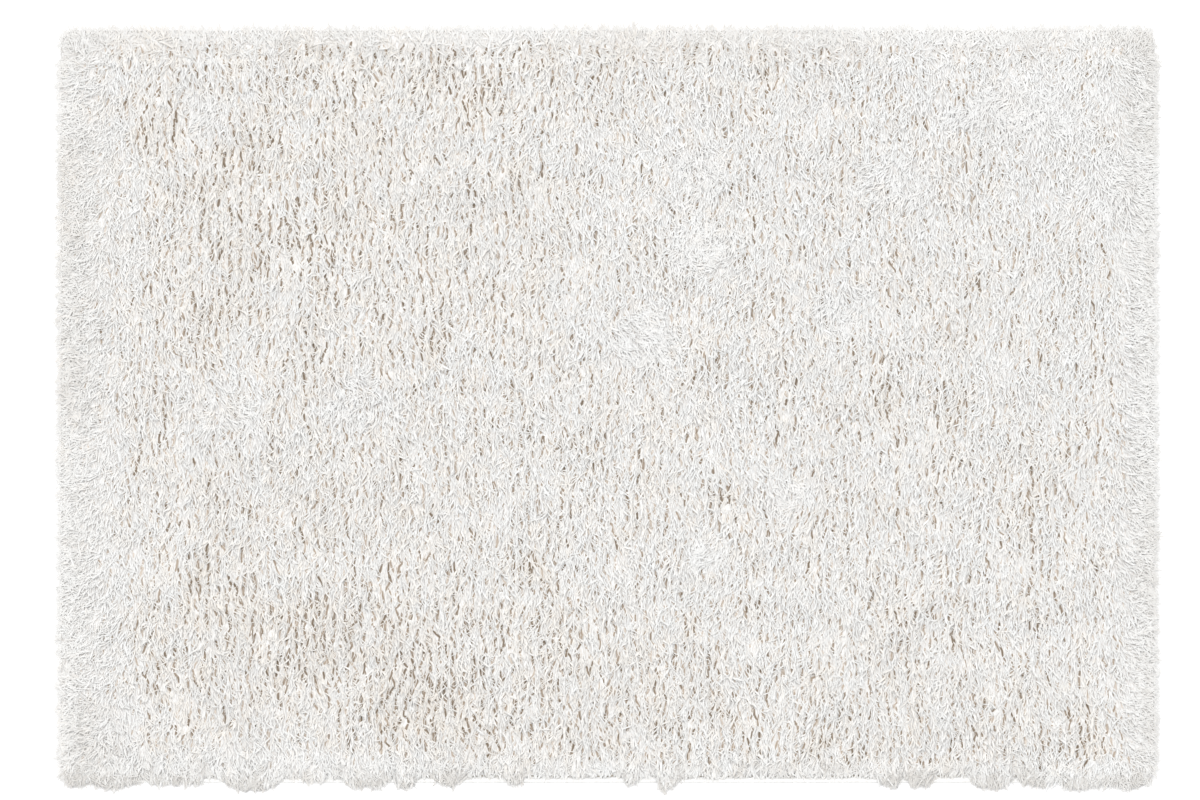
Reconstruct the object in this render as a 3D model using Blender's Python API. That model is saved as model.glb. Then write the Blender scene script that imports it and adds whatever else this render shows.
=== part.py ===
"""A white shag rug lying flat: a tufted pile cloth and the tape that binds its edge.

Metres, +Z up. The rug lies on the plane Z = 0 with its long side along X. Its front
edge, where the pile stops short and the binding shows between the locks, faces -Y.
The origin is the middle of the rug's plan, on the plane that it lies on.
"""

import math
import random
from collections import namedtuple

import bmesh
import bpy
from mathutils import Vector, noise

# Driving dimensions
RUG_LENGTH = 2.300            # along X, from pile tip to pile tip
RUG_WIDTH = 1.625             # along Y, from pile tip to pile tip
PILE_TOP = 0.038              # plane to the middle of the pile's lumps
SIDE_OVERHANG = 0.030         # pile past the binding at the back and both ends
FRONT_OVERHANG = 0.020        # longest front locks past the binding
PILE_CORNER_RADIUS = 0.038
BINDING_WIDTH = 0.012
BINDING_HEIGHT = 0.0042
BINDING_CORNER_RADIUS = 0.030
BINDING_EDGE_ROUND = 0.0012
PIECE_GAP = 0.0005            # air between the binding and the pile cloth

# The bound backing, whose edge every section of the rim is measured from
BACKING_LENGTH = RUG_LENGTH - 2 * SIDE_OVERHANG
BACKING_WIDTH = RUG_WIDTH - SIDE_OVERHANG - FRONT_OVERHANG
BACKING_MIDDLE_Y = (FRONT_OVERHANG - SIDE_OVERHANG) / 2

# Lumps in the top of the pile
GRID_CELLS_X = 42
GRID_CELLS_Y = 28
SWELL_SIZE = 0.150
SWELL_HEIGHT = 0.005
BUNCH_SIZE = 0.085            # bunches of tufts
BUNCH_HEIGHT = 0.006
BUNCH_JITTER = 0.008          # sideways, so that the bunches stand in no rows
NOISE_LAYERS = {"swell": 2.3, "bunch": 7.9, "jitter_x": 3.1, "jitter_y": 5.7}

# Locks at the rim, two to each cell of the grid along its border
LOCK_SEED = 41
LOCK_WAIST = 0.78             # a lock's section where it bends down, as a share of its root
LOCK_TIP = 0.24               # and at its tip
BEND_SHARE = 0.5              # of a lock's run, before it bends down
BEND_HEIGHT = 0.0125          # middle of a lock above the plane where it bends down
TIP_HEIGHT = 0.0036           # and at its tip, which lies on the plane
STUB_TIP_HEIGHT = 0.0100      # tip of a front lock that stops above the binding
STUB_TIP = -0.004             # where it stops, outward of the backing's edge
LOCK_CLEARANCE = 0.0008       # lowest point of any lock
TIP_SETBACK = 0.0015          # middle of a tip to its outermost point
FULL_LENGTH_SHARE = 0.4       # of the locks
LOCK_SHORTFALL = 0.35         # how much shorter the shortest lock is
LOCK_SWAY = 0.007             # how far a tip leans along the edge
BEND_SWAY_SHARE = 0.3

# Sections of the rim from the field down to the plane: outward of the backing's edge at the
# sides and at the front, height above the plane, share of the lumps, and corner radius
Section = namedtuple("Section", "side_out front_out height lump_share corner_radius")
UNDER_OUT = -BINDING_WIDTH - PIECE_GAP
UNDER_RADIUS = BINDING_CORNER_RADIUS + UNDER_OUT
FIELD = Section(-0.060, -0.074, PILE_TOP, 1.0, 0.0)
SHOULDER = Section(-0.024, -0.042, 0.0345, 0.8, 0.020)
BROW = Section(0.010, -0.020, 0.0240, 0.4, 0.034)
LIP = Section(0.016, -0.0115, 0.0075, 0.0, PILE_CORNER_RADIUS)
EAVE = Section(UNDER_OUT, UNDER_OUT, BINDING_HEIGHT + PIECE_GAP, 0.0, UNDER_RADIUS)
FOOT = Section(UNDER_OUT, UNDER_OUT, 0.0, 0.0, UNDER_RADIUS)

Clump = namedtuple("Clump", "middle half_width overhang")
FRONT_CLUMPS = (
    # Where locks hang over the front binding, along X, and how far they reach past it
    Clump(-1.110, 0.030, 0.014),
    Clump(-1.030, 0.060, 0.016),
    Clump(-0.900, 0.060, 0.010),
    Clump(-0.740, 0.065, 0.020),
    Clump(-0.610, 0.025, 0.007),
    Clump(-0.500, 0.050, 0.014),
    Clump(-0.420, 0.020, 0.020),
    Clump(-0.330, 0.025, 0.013),
    Clump(-0.195, 0.020, 0.010),
    Clump(0.050, 0.015, 0.006),
    Clump(0.125, 0.025, 0.020),
    Clump(0.585, 0.025, 0.016),
    Clump(0.650, 0.030, 0.014),
    Clump(0.800, 0.045, 0.018),
    Clump(0.900, 0.045, 0.014),
    Clump(0.990, 0.050, 0.019),
    Clump(1.080, 0.060, 0.014),
)

BINDING_CORNER_STEPS = 6
YARN_WHITE = (0.80, 0.78, 0.75)
YARN_ROUGHNESS = 0.95
TAPE_WHITE = (0.86, 0.86, 0.85)
TAPE_ROUGHNESS = 0.80


# ---------------------------------------------------------------- outlines

class Outline:
    """A rectangle with rounded corners: its front, right end, back and left end."""

    DIRECTIONS = (Vector((1, 0)), Vector((0, 1)), Vector((-1, 0)), Vector((0, -1)))

    def __init__(self, side_out, front_out, radius):
        half = BACKING_LENGTH / 2 + side_out - radius
        front = BACKING_MIDDLE_Y - BACKING_WIDTH / 2 - front_out + radius
        back = BACKING_MIDDLE_Y + BACKING_WIDTH / 2 + side_out - radius
        self.radius = radius
        self.corners = (Vector((-half, front)), Vector((half, front)),
                        Vector((half, back)), Vector((-half, back)))

    def on_arc(self, centre, side, angle):
        """The point on a corner's arc at an angle past the way out of one side."""
        along = self.DIRECTIONS[side]
        out = Vector((along.y, -along.x))
        way_out = out * math.cos(angle) + along * math.sin(angle)
        return centre + way_out * self.radius

    def walk(self, side, share):
        """The point at a share of one side, from mid-corner to mid-corner."""
        start = self.corners[side]
        stop = self.corners[(side + 1) % 4]
        straight = (stop - start).length
        arc = self.radius * math.pi / 4
        distance = share * (straight + 2 * arc)
        if distance < arc:
            return self.on_arc(start, side, (distance - arc) / self.radius)
        if distance > arc + straight:
            return self.on_arc(stop, side, (distance - arc - straight) / self.radius)
        return self.on_arc(start, side, 0.0) + self.DIRECTIONS[side] * (distance - arc)

    def loop(self, corner_steps):
        """Points all round, with each corner's arc cut into steps."""
        points = []
        for side, centre in enumerate(self.corners):
            for step in range(corner_steps + 1):
                angle = math.pi / 2 * (step / corner_steps - 1)
                points.append(self.on_arc(centre, side, angle))
        return points


def section_outline(section):
    return Outline(section.side_out, section.front_out, section.corner_radius)


# ---------------------------------------------------------------- pile cloth

def smooth_noise(x, y, layer, size):
    """A smooth value between about -0.8 and 0.8; each layer is a pattern of its own."""
    return noise.noise(Vector((x / size, y / size, NOISE_LAYERS[layer])))


def lump(x, y):
    """Height of the pile's lumps above their middle."""
    swell = SWELL_HEIGHT * smooth_noise(x, y, "swell", SWELL_SIZE)
    bunch = BUNCH_HEIGHT * smooth_noise(x, y, "bunch", BUNCH_SIZE)
    return swell + bunch


def place_on_border(point):
    """Which side of the unit grid a border point is on, and its share of the way along."""
    almost_one = 0.999
    if point.y < -almost_one and point.x < almost_one:
        return 0, (point.x + 1) / 2
    if point.x > almost_one and point.y < almost_one:
        return 1, (point.y + 1) / 2
    if point.y > almost_one and point.x > -almost_one:
        return 2, (1 - point.x) / 2
    return 3, (1 - point.y) / 2


def open_border(bm):
    return [edge for edge in bm.edges if edge.is_boundary]


def lay_field(bm):
    """The lumpy top of the pile, and for each border point its place round the rim."""
    bmesh.ops.create_grid(bm, x_segments=GRID_CELLS_X, y_segments=GRID_CELLS_Y, size=1.0)
    bmesh.ops.subdivide_edges(bm, edges=open_border(bm), cuts=1)
    places = {vert: place_on_border(vert.co) for vert in bm.verts if vert.is_boundary}
    low, __, high, __ = section_outline(FIELD).corners
    for vert in bm.verts:
        x = low.x + (high.x - low.x) * (vert.co.x + 1) / 2
        y = low.y + (high.y - low.y) * (vert.co.y + 1) / 2
        if vert not in places:
            jitter_x = BUNCH_JITTER * smooth_noise(x, y, "jitter_x", BUNCH_SIZE)
            jitter_y = BUNCH_JITTER * smooth_noise(x, y, "jitter_y", BUNCH_SIZE)
            x += jitter_x
            y += jitter_y
        vert.co = Vector((x, y, FIELD.height + lump(x, y)))
    return places


def grow_section(bm, places, section):
    """Extrude the open border once, out to a section of the rim."""
    outline = section_outline(section)
    made = bmesh.ops.extrude_edge_only(bm, edges=open_border(bm))["geom"]
    new_places = {}
    for vert in (item for item in made if isinstance(item, bmesh.types.BMVert)):
        neighbours = (edge.other_vert(vert) for edge in vert.link_edges)
        side, share = next(places[near] for near in neighbours if near in places)
        point = outline.walk(side, share)
        height = section.height + section.lump_share * lump(point.x, point.y)
        vert.co = Vector((point.x, point.y, height))
        new_places[vert] = (side, share)
    faces = [item for item in made if isinstance(item, bmesh.types.BMFace)]
    return new_places, faces


def distance_past_backing(point):
    """How far a point lies outside the backing, its corners rounded to suit the pile's."""
    radius = PILE_CORNER_RADIUS - SIDE_OVERHANG
    past_end = abs(point.x) - BACKING_LENGTH / 2 + radius
    past_side = abs(point.y - BACKING_MIDDLE_Y) - BACKING_WIDTH / 2 + radius
    outside = math.hypot(max(past_end, 0.0), max(past_side, 0.0))
    return outside + min(max(past_end, past_side), 0.0) - radius


def front_reach(x):
    """Where the front locks at x end, outward of the backing's edge."""
    reaches = [clump.overhang for clump in FRONT_CLUMPS
               if abs(x - clump.middle) < clump.half_width]
    return max(reaches, default=STUB_TIP)


def lock_reach(root_middle, way_out, rng):
    """Where one lock ends, outward of the backing's edge."""
    shortfall = LOCK_SHORTFALL * rng.random() if rng.random() > FULL_LENGTH_SHARE else 0.0
    side_reach = SIDE_OVERHANG * (1 - shortfall)
    front_share = max(0.0, -way_out.y) ** 2
    return side_reach + (front_reach(root_middle.x) - side_reach) * front_share


def bearing(face):
    """Where a face stands round the rug's middle, which puts the locks in order."""
    middle = face.calc_center_median()
    return math.atan2(middle.y, middle.x)


def extrude_ring(bm, face, middle, scale):
    """Extrude one face of a lock, scale it about itself and set it round a new middle."""
    ring = bmesh.ops.extrude_discrete_faces(bm, faces=[face])["faces"][0]
    old_middle = ring.calc_center_median()
    for vert in ring.verts:
        vert.co = middle + (vert.co - old_middle) * scale
        vert.co.z = max(vert.co.z, LOCK_CLEARANCE)
    return ring


def grow_lock(bm, root, rng):
    """A tapered four-sided lock on one face of the rim, which turns down to the plane."""
    middle = root.calc_center_median()
    way_out = root.normal.xy.normalized()
    along_edge = Vector((-way_out.y, way_out.x))
    reach = lock_reach(middle, way_out, rng)
    sway = along_edge * LOCK_SWAY * (2 * rng.random() - 1)
    run = way_out * (reach - TIP_SETBACK - distance_past_backing(middle))
    bend = middle.xy + run * BEND_SHARE + sway * BEND_SWAY_SHARE
    tip = middle.xy + run + sway
    tip_height = STUB_TIP_HEIGHT if reach < 0 else TIP_HEIGHT
    waist = extrude_ring(bm, root, Vector((*bend, BEND_HEIGHT)), LOCK_WAIST)
    extrude_ring(bm, waist, Vector((*tip, tip_height)), LOCK_TIP / LOCK_WAIST)


def build_shag_pile():
    bm = bmesh.new()
    places = lay_field(bm)
    for section in (SHOULDER, BROW, LIP, EAVE, FOOT):
        places, faces = grow_section(bm, places, section)
        if section is LIP:
            lock_roots = faces
    bmesh.ops.contextual_create(bm, geom=open_border(bm))
    bmesh.ops.recalc_face_normals(bm, faces=bm.faces)
    bm.normal_update()
    rng = random.Random(LOCK_SEED)
    for root in sorted(lock_roots, key=bearing):
        grow_lock(bm, root, rng)
    return mesh_object("shag_pile", bm, plain_material("yarn", YARN_WHITE, YARN_ROUGHNESS))


# ---------------------------------------------------------------- binding

def build_edge_binding():
    """A flat ring of tape with rounded edges, from two outlines filled as one."""
    curve = bpy.data.curves.new("edge_binding_path", "CURVE")
    curve.dimensions = "2D"
    curve.fill_mode = "BOTH"
    curve.bevel_depth = BINDING_EDGE_ROUND
    curve.bevel_resolution = 1
    curve.extrude = BINDING_HEIGHT / 2 - BINDING_EDGE_ROUND
    for inset in (BINDING_EDGE_ROUND, BINDING_WIDTH - BINDING_EDGE_ROUND):
        outline = Outline(-inset, -inset, BINDING_CORNER_RADIUS - inset)
        points = outline.loop(BINDING_CORNER_STEPS)
        spline = curve.splines.new("POLY")
        spline.points.add(len(points) - 1)
        for target, point in zip(spline.points, points):
            target.co = (point.x, point.y, 0.0, 1.0)
        spline.use_cyclic_u = True
    curve.materials.append(plain_material("tape", TAPE_WHITE, TAPE_ROUGHNESS))
    tape = bpy.data.objects.new("edge_binding", curve)
    tape.location.z = BINDING_HEIGHT / 2
    return tape


# ---------------------------------------------------------------- scene

def plain_material(name, colour, roughness):
    material = bpy.data.materials.new(name)
    material.use_nodes = True
    shader = material.node_tree.nodes["Principled BSDF"]
    shader.inputs["Base Color"].default_value = (*colour, 1.0)
    shader.inputs["Roughness"].default_value = roughness
    shader.inputs["Metallic"].default_value = 0.0
    return material


def mesh_object(name, bm, material):
    mesh = bpy.data.meshes.new(name)
    bm.to_mesh(mesh)
    bm.free()
    mesh.materials.append(material)
    mesh.shade_smooth()
    return bpy.data.objects.new(name, mesh)


def main():
    for thing in list(bpy.data.objects):
        bpy.data.objects.remove(thing, do_unlink=True)
    rug = bpy.data.collections.new("shag_rug")
    bpy.context.scene.collection.children.link(rug)
    for piece in (build_shag_pile(), build_edge_binding()):
        rug.objects.link(piece)


main()
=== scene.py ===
"""The shag rug as it looks: yarn by yarn pile, woven ground cloth and stitched binding."""

import math
from collections import namedtuple

import bpy
import numpy as np
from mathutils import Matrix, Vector, noise


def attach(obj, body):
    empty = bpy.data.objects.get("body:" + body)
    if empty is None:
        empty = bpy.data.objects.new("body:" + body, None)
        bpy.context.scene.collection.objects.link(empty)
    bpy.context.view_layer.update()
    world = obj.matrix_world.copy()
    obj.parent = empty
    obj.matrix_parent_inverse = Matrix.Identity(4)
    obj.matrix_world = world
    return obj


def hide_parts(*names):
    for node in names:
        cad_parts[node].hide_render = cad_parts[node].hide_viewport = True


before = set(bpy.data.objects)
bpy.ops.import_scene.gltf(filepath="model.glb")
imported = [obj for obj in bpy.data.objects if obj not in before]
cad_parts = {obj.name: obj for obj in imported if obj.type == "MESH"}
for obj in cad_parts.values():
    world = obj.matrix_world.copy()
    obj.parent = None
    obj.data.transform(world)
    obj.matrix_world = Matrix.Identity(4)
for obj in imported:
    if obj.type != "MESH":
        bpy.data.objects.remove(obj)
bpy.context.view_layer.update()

# The CAD's own sizes, in metres
BACKING_HALF = np.array((1.120, 0.7875))
BACKING_MIDDLE = np.array((0.0, -0.005))
BACKING_RADIUS = 0.030
BINDING_WIDTH = 0.012
BINDING_HEIGHT = 0.0042
PILE_TOP = 0.038
TIPS_HALF, TIPS_RADIUS = np.array((1.150, 0.8125)), 0.038     # where the yarn's tips end
SWELL_SIZE, SWELL_HEIGHT, SWELL_LAYER = 0.150, 0.005, 2.3
BUNCH_SIZE, BUNCH_HEIGHT, BUNCH_LAYER = 0.085, 0.006, 7.9

SOFT_UP = 3.2                # how far a yarn's shading turns up, as light soaks through it
WISP_UP = 1.8                # the same for a wisp, which is flat but shaded as if it were round
TONES, HUES = 16, 4          # tones of the yarn, and hues of each tone
COLUMNS = TONES * HUES       # side by side in the yarn's UV map

YARN_GRID, WISP_GRID = 0.0122, 0.0059    # from one root to the next
YARN_RADII = np.array((0.0018, 0.0020))  # at a strand's two inner points
WISP_RADII = np.array((0.00089, 0.00097))
YARN_PARTS, WISP_PARTS = 3, 4            # meshes that they are split into, from left to right
RING_TURN = 0.35             # twist of a yarn from one ring to the next
CORE_RISE = 0.78             # height of the dense pile under the tips, as a share
CORE_CELLS = (230, 130)
CORE_INSET = 0.013           # from the line where the tips end
SLIT_SPREAD = 0.0075         # how far to each side of a slit the yarn is pushed together
EDGE_ZONE = 0.045            # inside the backing's edge, where the yarns are closer and longer
ROOT_GAP = 0.0015            # from the binding to the first yarns
YARN_FOOT = 0.0018           # height of the yarns' feet, in the ground cloth
STRAND_LOW, STRAND_HIGH = 0.0035, 0.0475   # all other points of a strand stay between these
UV_SIDE, UV_END = 0.08, 0.02             # margins of each thread's place in the UV map
RIM_WAYS = ((-1, 0), (1, 0), (0, 1), (0, -1))      # outward at the left, right, back and front


# ---------------------------------------------------------------- noise and shape helpers

def smooth(x, start, stop):
    """0 before start, 1 after stop, and a smooth step between them."""
    t = np.clip((x - start) / (stop - start), 0.0, 1.0)
    return t * t * (3 - 2 * t)


def wander(x, y, size, layer):
    """A smooth seeded value between -1 and 1 at each point; each layer is its own pattern."""
    table = np.random.RandomState(layer).uniform(-1, 1, (257, 257))
    u, v = x / size + 128, y / size + 128
    i, j = np.floor(u).astype(int), np.floor(v).astype(int)
    a, b = u - i, v - j
    a, b = a * a * (3 - 2 * a), b * b * (3 - 2 * b)
    i, j = i % 256, j % 256
    low = table[i, j] * (1 - a) + table[i + 1, j] * a
    high = table[i, j + 1] * (1 - a) + table[i + 1, j + 1] * a
    return low * (1 - b) + high * b


def lump(x, y):
    """Height of the pile's lumps above their middle, as in the CAD."""
    made = np.empty(len(x))
    for i in range(len(x)):
        swell = noise.noise(Vector((x[i] / SWELL_SIZE, y[i] / SWELL_SIZE, SWELL_LAYER)))
        bunch = noise.noise(Vector((x[i] / BUNCH_SIZE, y[i] / BUNCH_SIZE, BUNCH_LAYER)))
        made[i] = SWELL_HEIGHT * swell + BUNCH_HEIGHT * bunch
    return made


def inside_edge(x, y):
    """How far each point lies inside the backing's edge."""
    qx = np.abs(x - BACKING_MIDDLE[0]) - (BACKING_HALF[0] - BACKING_RADIUS)
    qy = np.abs(y - BACKING_MIDDLE[1]) - (BACKING_HALF[1] - BACKING_RADIUS)
    outer = np.hypot(np.maximum(qx, 0), np.maximum(qy, 0))
    return BACKING_RADIUS - outer - np.minimum(np.maximum(qx, qy), 0)


# A clump of locks at the front: where it is, and how far it hangs past the binding
Clump = namedtuple("Clump", "middle half_width overhang")
FRONT_CLUMPS = (
    Clump(-1.110, 0.030, 0.014), Clump(-1.030, 0.060, 0.016), Clump(-0.900, 0.060, 0.010),
    Clump(-0.740, 0.065, 0.020), Clump(-0.610, 0.025, 0.007), Clump(-0.500, 0.050, 0.014),
    Clump(-0.420, 0.020, 0.020), Clump(-0.330, 0.025, 0.013), Clump(-0.195, 0.020, 0.010),
    Clump(0.050, 0.015, 0.006), Clump(0.125, 0.025, 0.020), Clump(0.585, 0.025, 0.016),
    Clump(0.650, 0.030, 0.014), Clump(0.800, 0.045, 0.018), Clump(0.900, 0.045, 0.014),
    Clump(0.990, 0.050, 0.019), Clump(1.080, 0.060, 0.014),
)


# ---------------------------------------------------------------- strands

def thread_mesh(name, verts, normals, faces, totals, share, column, soft=SOFT_UP):
    """One mesh of many threads, all with the same faces. share holds each corner's place across
    and along its thread, column each thread's place in the UV map, and soft how far its shading
    turns up."""
    count, per, __ = verts.shape
    faces, totals, share = np.array(faces), np.array(totals), np.array(share)
    corners = (faces[None] + per * np.arange(count)[:, None]).ravel()
    totals = np.tile(totals, count)
    u = (column[:, None] + UV_SIDE + (1 - 2 * UV_SIDE) * share[None, :, 0]) / COLUMNS
    v = np.broadcast_to(UV_END + (1 - 2 * UV_END) * share[None, :, 1], u.shape)
    mesh = bpy.data.meshes.new(name)
    mesh.vertices.add(count * per)
    mesh.vertices.foreach_set("co", verts.astype(np.float32).ravel())
    mesh.loops.add(len(corners))
    mesh.loops.foreach_set("vertex_index", corners.astype(np.int32))
    mesh.polygons.add(len(totals))
    mesh.polygons.foreach_set("loop_start",
                              np.concatenate(([0], np.cumsum(totals)[:-1])).astype(np.int32))
    mesh.polygons.foreach_set("loop_total", totals.astype(np.int32))
    mesh.polygons.foreach_set("use_smooth", np.ones(len(totals), bool))
    uv = mesh.uv_layers.new(name="OFBake")
    uv.uv.foreach_set("vector", np.stack((u, v), 2).astype(np.float32).ravel())
    mesh.update(calc_edges=True)
    mesh.validate()
    normals = normals / np.linalg.norm(normals, axis=2, keepdims=True)
    normals[..., 2] += np.reshape(soft, (-1, 1))
    normals = normals / np.linalg.norm(normals, axis=2, keepdims=True)
    mesh.normals_split_custom_set_from_vertices(normals.reshape(-1, 3).tolist())
    return mesh


def thread_frame(path):
    """Two directions square to each inner point of each path: level with the floor, and the
    other one."""
    along = path[:, 2:] - path[:, :-2]
    along /= np.linalg.norm(along, axis=2, keepdims=True)
    run = path[:, -1] - path[:, 0]
    across = np.stack((-run[:, 1], run[:, 0], np.zeros(len(path))), 1)[:, None, :]
    side = across - (across * along).sum(2, keepdims=True) * along
    side /= np.linalg.norm(side, axis=2, keepdims=True)
    return side, np.cross(along, side)


def strand_mesh(name, path, radius, turn, column):
    """A mesh of spindles: each follows its path, with a three-sided ring at each inner point."""
    count, points, __ = path.shape
    rings = points - 2
    side, other = thread_frame(path)
    angle = (turn[:, None, None] + np.arange(rings)[None, :, None] * RING_TURN
             + np.arange(3)[None, None, :] * 2 * math.pi / 3)
    out = (np.cos(angle)[..., None] * side[:, :, None, :]
           + np.sin(angle)[..., None] * other[:, :, None, :])
    ring = path[:, 1:-1, None, :] + radius[:, :, None, None] * out
    verts = np.concatenate((path[:, :1], ring.reshape(count, rings * 3, 3), path[:, -1:]), 1)
    up = np.broadcast_to(np.array((0.0, 0.0, 1.0)), (count, 1, 3))
    normals = np.concatenate((up, out.reshape(count, rings * 3, 3),
                              path[:, -1:] - path[:, -2:-1]), 1)
    faces, totals, share = [], [], []
    reach = np.linspace(0, 1, points)
    for k in range(3):
        n = (k + 1) % 3
        faces += [0, 1 + n, 1 + k]
        share += [((k + 0.5) / 3, 0.0), ((k + 1) / 3, reach[1]), (k / 3, reach[1])]
        totals.append(3)
        for r in range(rings - 1):
            low, high = 1 + 3 * r, 4 + 3 * r
            faces += [low + k, low + n, high + n, high + k]
            share += [(k / 3, reach[r + 1]), ((k + 1) / 3, reach[r + 1]),
                      ((k + 1) / 3, reach[r + 2]), (k / 3, reach[r + 2])]
            totals.append(4)
        last = 1 + 3 * (rings - 1)
        faces += [last + k, last + n, 3 * rings + 1]
        share += [(k / 3, reach[-2]), ((k + 1) / 3, reach[-2]), ((k + 0.5) / 3, 1.0)]
        totals.append(3)
    return thread_mesh(name, verts, normals, faces, totals, share, column)


def wisp_mesh(name, path, radius, tilt, column, calm):
    """A mesh of flat wisps: each follows its path, with an edge on both sides of it. A calm wisp,
    from 0 to 1, is shaded flatter."""
    count, points, __ = path.shape
    inner = points - 2
    side, other = thread_frame(path)
    lean = tilt[:, None, None]
    wide = radius[:, :, None] * (np.cos(lean) * side + np.sin(lean) * other)
    face = np.cos(lean) * other - np.sin(lean) * side
    face = np.where(face[..., 2:] < 0, -face, face)
    pairs = np.stack((path[:, 1:-1] - wide, path[:, 1:-1] + wide), 2).reshape(count, -1, 3)
    verts = np.concatenate((path[:, :1], pairs, path[:, -1:]), 1)
    round_off = wide / np.linalg.norm(wide, axis=2, keepdims=True)
    round_off *= (1 - 0.65 * calm)[:, None, None]
    edges = np.stack((face - round_off, face + round_off), 2).reshape(count, -1, 3)
    normals = np.concatenate((face[:, :1], edges, face[:, -1:]), 1)
    reach = np.linspace(0, 1, points)
    faces, totals = [0, 1, 2], [3]
    share = [(0.5, 0.0), (0.0, reach[1]), (1.0, reach[1])]
    for r in range(inner - 1):
        a = 1 + 2 * r
        faces += [a + 1, a, a + 2, a + 3]
        share += [(1.0, reach[r + 1]), (0.0, reach[r + 1]), (0.0, reach[r + 2]),
                  (1.0, reach[r + 2])]
        totals.append(4)
    a = 1 + 2 * (inner - 1)
    faces += [a + 1, a, a + 2]
    share += [(1.0, reach[-2]), (0.0, reach[-2]), (0.5, 1.0)]
    totals.append(3)
    return thread_mesh(name, verts, normals, faces, totals, share, column,
                       WISP_UP * (1 + 1.5 * calm))


def jittered_grid(rng, spacing, jitter):
    """Points on a jittered grid over the whole rug."""
    nx, ny = (2 * TIPS_HALF / spacing).astype(int)
    gx, gy = np.meshgrid((np.arange(nx) + 0.5) / nx, (np.arange(ny) + 0.5) / ny)
    gx = gx + (np.arange(ny) % 2)[:, None] * 0.5 / nx
    gx, gy = gx.ravel() * 2 * TIPS_HALF[0], gy.ravel() * 2 * TIPS_HALF[1]
    x = gx - TIPS_HALF[0] + rng.uniform(-jitter, jitter, gx.size) * spacing
    y = gy - TIPS_HALF[1] + rng.uniform(-jitter, jitter, gy.size) * spacing
    return x, y


# ---------------------------------------------------------------- tufts, slits and rims

TUFT = np.array((0.0195, 0.0270))        # a tuft's width and length
TUFTS_EACH_WAY = (62, 33)                # from the middle to each edge
TABLE = 512                              # tufts in a row of the tables of seeded values
TUFT_SHIFT = np.random.default_rng(5).uniform(-0.40, 0.40, (TABLE, TABLE, 2))


def by_tuft(seed, tuft, *each):
    """Seeded values between -1 and 1 that all strands of a tuft share."""
    return np.random.default_rng(seed).uniform(-1, 1, (TABLE * TABLE, *each))[tuft]


def warp(x, y):
    """How far the tufts and slits are moved from their places in the grid."""
    return (0.0026 * wander(x, y, 0.0085, 71) + 0.0090 * wander(x, y, 0.080, 73),
            0.0026 * wander(x, y, 0.0085, 72) + 0.0090 * wander(x, y, 0.080, 74))


def tuft_middle(c, r):
    """Where the tuft in column c and row r has its middle; each second column is shifted."""
    shift = TUFT_SHIFT[c % TABLE, r % TABLE]
    return ((c + 0.5 + shift[..., 0]) * TUFT[0],
            (r + 0.25 + 0.5 * (c % 2) + shift[..., 1]) * TUFT[1])


def nearest_tuft(x, y):
    """For each point, the way to its tuft's middle, the tuft's number, and how far inside the
    tuft it is, from 0 at its border to 1."""
    bent_x, bent_y = warp(x, y)
    x, y = x + bent_x, y + bent_y
    column, row = np.floor(x / TUFT[0]).astype(int), np.floor(y / TUFT[1]).astype(int)
    best, second = np.full(len(x), 1e9), np.full(len(x), 1e9)
    to_x, to_y, number = np.zeros(len(x)), np.zeros(len(x)), np.zeros(len(x), int)
    for dc in (-1, 0, 1):
        for dr in (-1, 0, 1):
            c, r = column + dc, row + dr
            mx, my = tuft_middle(c, r)
            far = np.hypot((mx - x) / TUFT[0], (my - y) / TUFT[1])
            near = far < best
            second = np.where(near, best, np.minimum(second, far))
            best = np.where(near, far, best)
            to_x, to_y = np.where(near, mx - x, to_x), np.where(near, my - y, to_y)
            number = np.where(near, (c % TABLE) * TABLE + r % TABLE, number)
    return to_x, to_y, number, smooth(second - best, 0.0, 0.45)


def tip_line_front(x):
    """Y of the line that the front locks end on: inside the binding, or past it in a clump."""
    rest = -0.0085 + 0.0026 * wander(x, 0 * x, 0.014, 51) + 0.0020 * wander(x, 0 * x, 0.05, 53)
    past = rest
    for clump in FRONT_CLUMPS:
        off = np.abs(x - clump.middle) / clump.half_width
        reach = (clump.overhang * (1 - 0.40 * off ** 1.5) + 0.0055 * wander(x, 0 * x, 0.013, 52)
                 + 0.0030 * wander(x, 0 * x, 0.006, 54))
        past = np.maximum(past, rest + (reach - rest) * (1 - smooth(off, 0.75, 1.15)))
    return BACKING_MIDDLE[1] - BACKING_HALF[1] - past


def room(x, y):
    """How far each point lies inside the line where the tips end."""
    qx = np.abs(x) - (TIPS_HALF[0] - TIPS_RADIUS)
    qy = np.abs(y) - (TIPS_HALF[1] - TIPS_RADIUS)
    outer = np.hypot(np.maximum(qx, 0), np.maximum(qy, 0))
    inside = TIPS_RADIUS - outer - np.minimum(np.maximum(qx, qy), 0)
    return np.minimum(inside, y - tip_line_front(x))


def surface(x, y):
    """Height of the pile's surface without its lumps."""
    return np.interp(room(x, y), (-0.004, 0.0, 0.010, 0.020, 0.030, 0.054, 0.100),
                     (0.003, 0.0055, 0.0165, 0.0240, 0.0290, 0.0355, PILE_TOP))


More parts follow.
